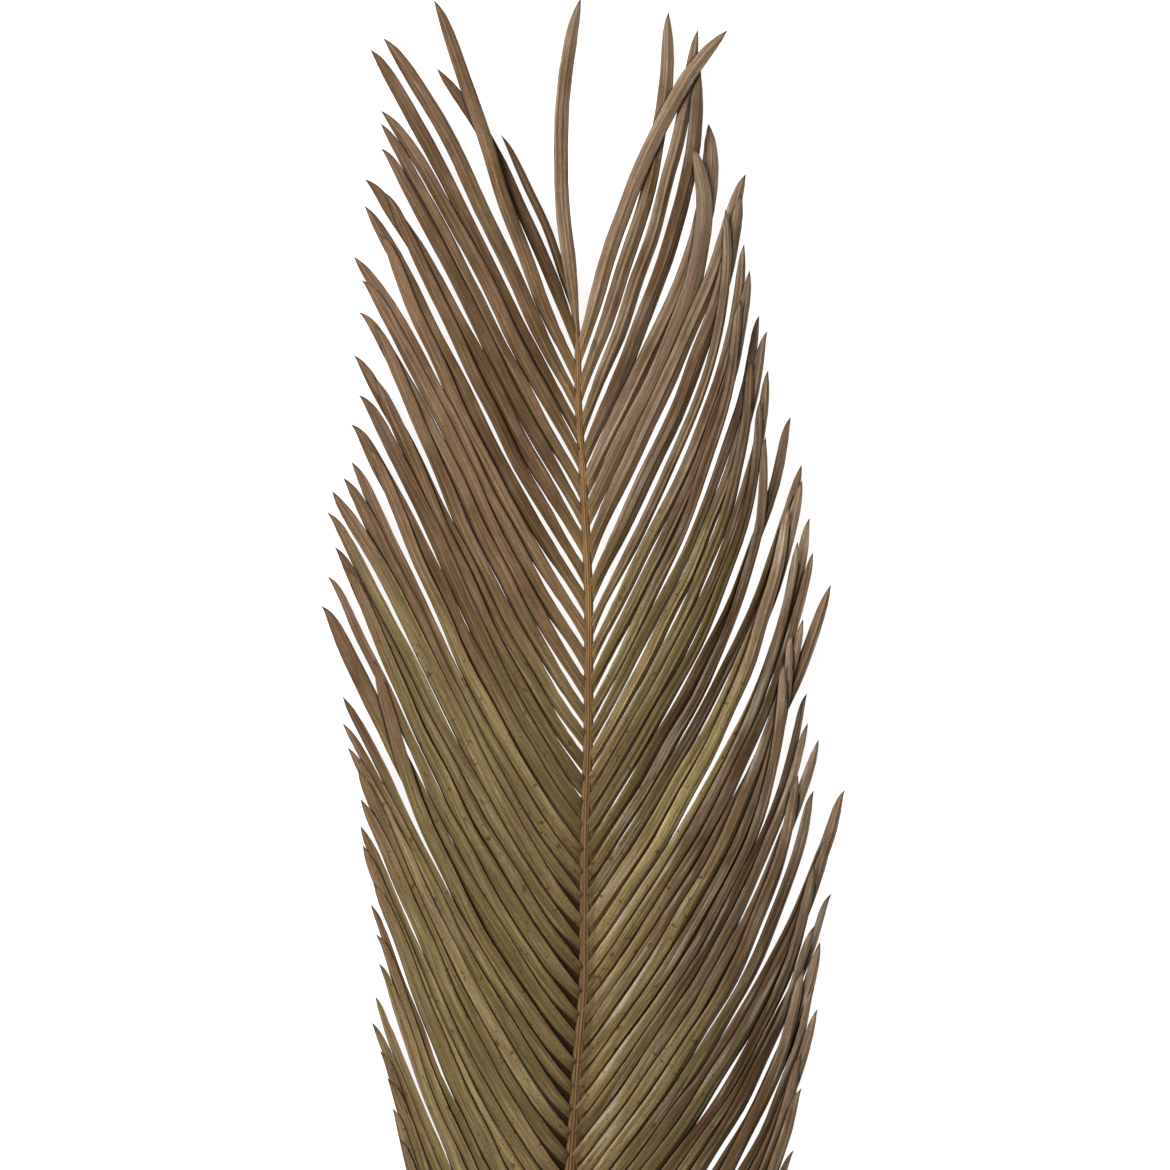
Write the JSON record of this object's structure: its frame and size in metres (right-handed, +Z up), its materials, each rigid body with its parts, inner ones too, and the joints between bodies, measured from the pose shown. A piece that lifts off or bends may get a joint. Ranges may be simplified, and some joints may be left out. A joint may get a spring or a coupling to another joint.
{
  "type": "dried cycas leaf",
  "caption": "Dried, cut cycas leaf lying on a surface: a gently arched rachis with dense, narrow, sharp leaflets along both sides, and a bare stalk with small spines.",
  "frame": {"origin": "on the surface, under the middle of the leaf's box", "axes": "+Y along the leaf towards its tip, +Z up from the surface, +X to the right with the tip away from the viewer"},
  "size_m": [0.1963, 0.7261, 0.0223],
  "materials": {
    "dried_leaf": "dry leaf, taupe brown to olive, with a slight sheen"
  },
  "bodies": {
    "root": {"cycas_leaf": "dried_leaf"}
  },
  "joints": []
}
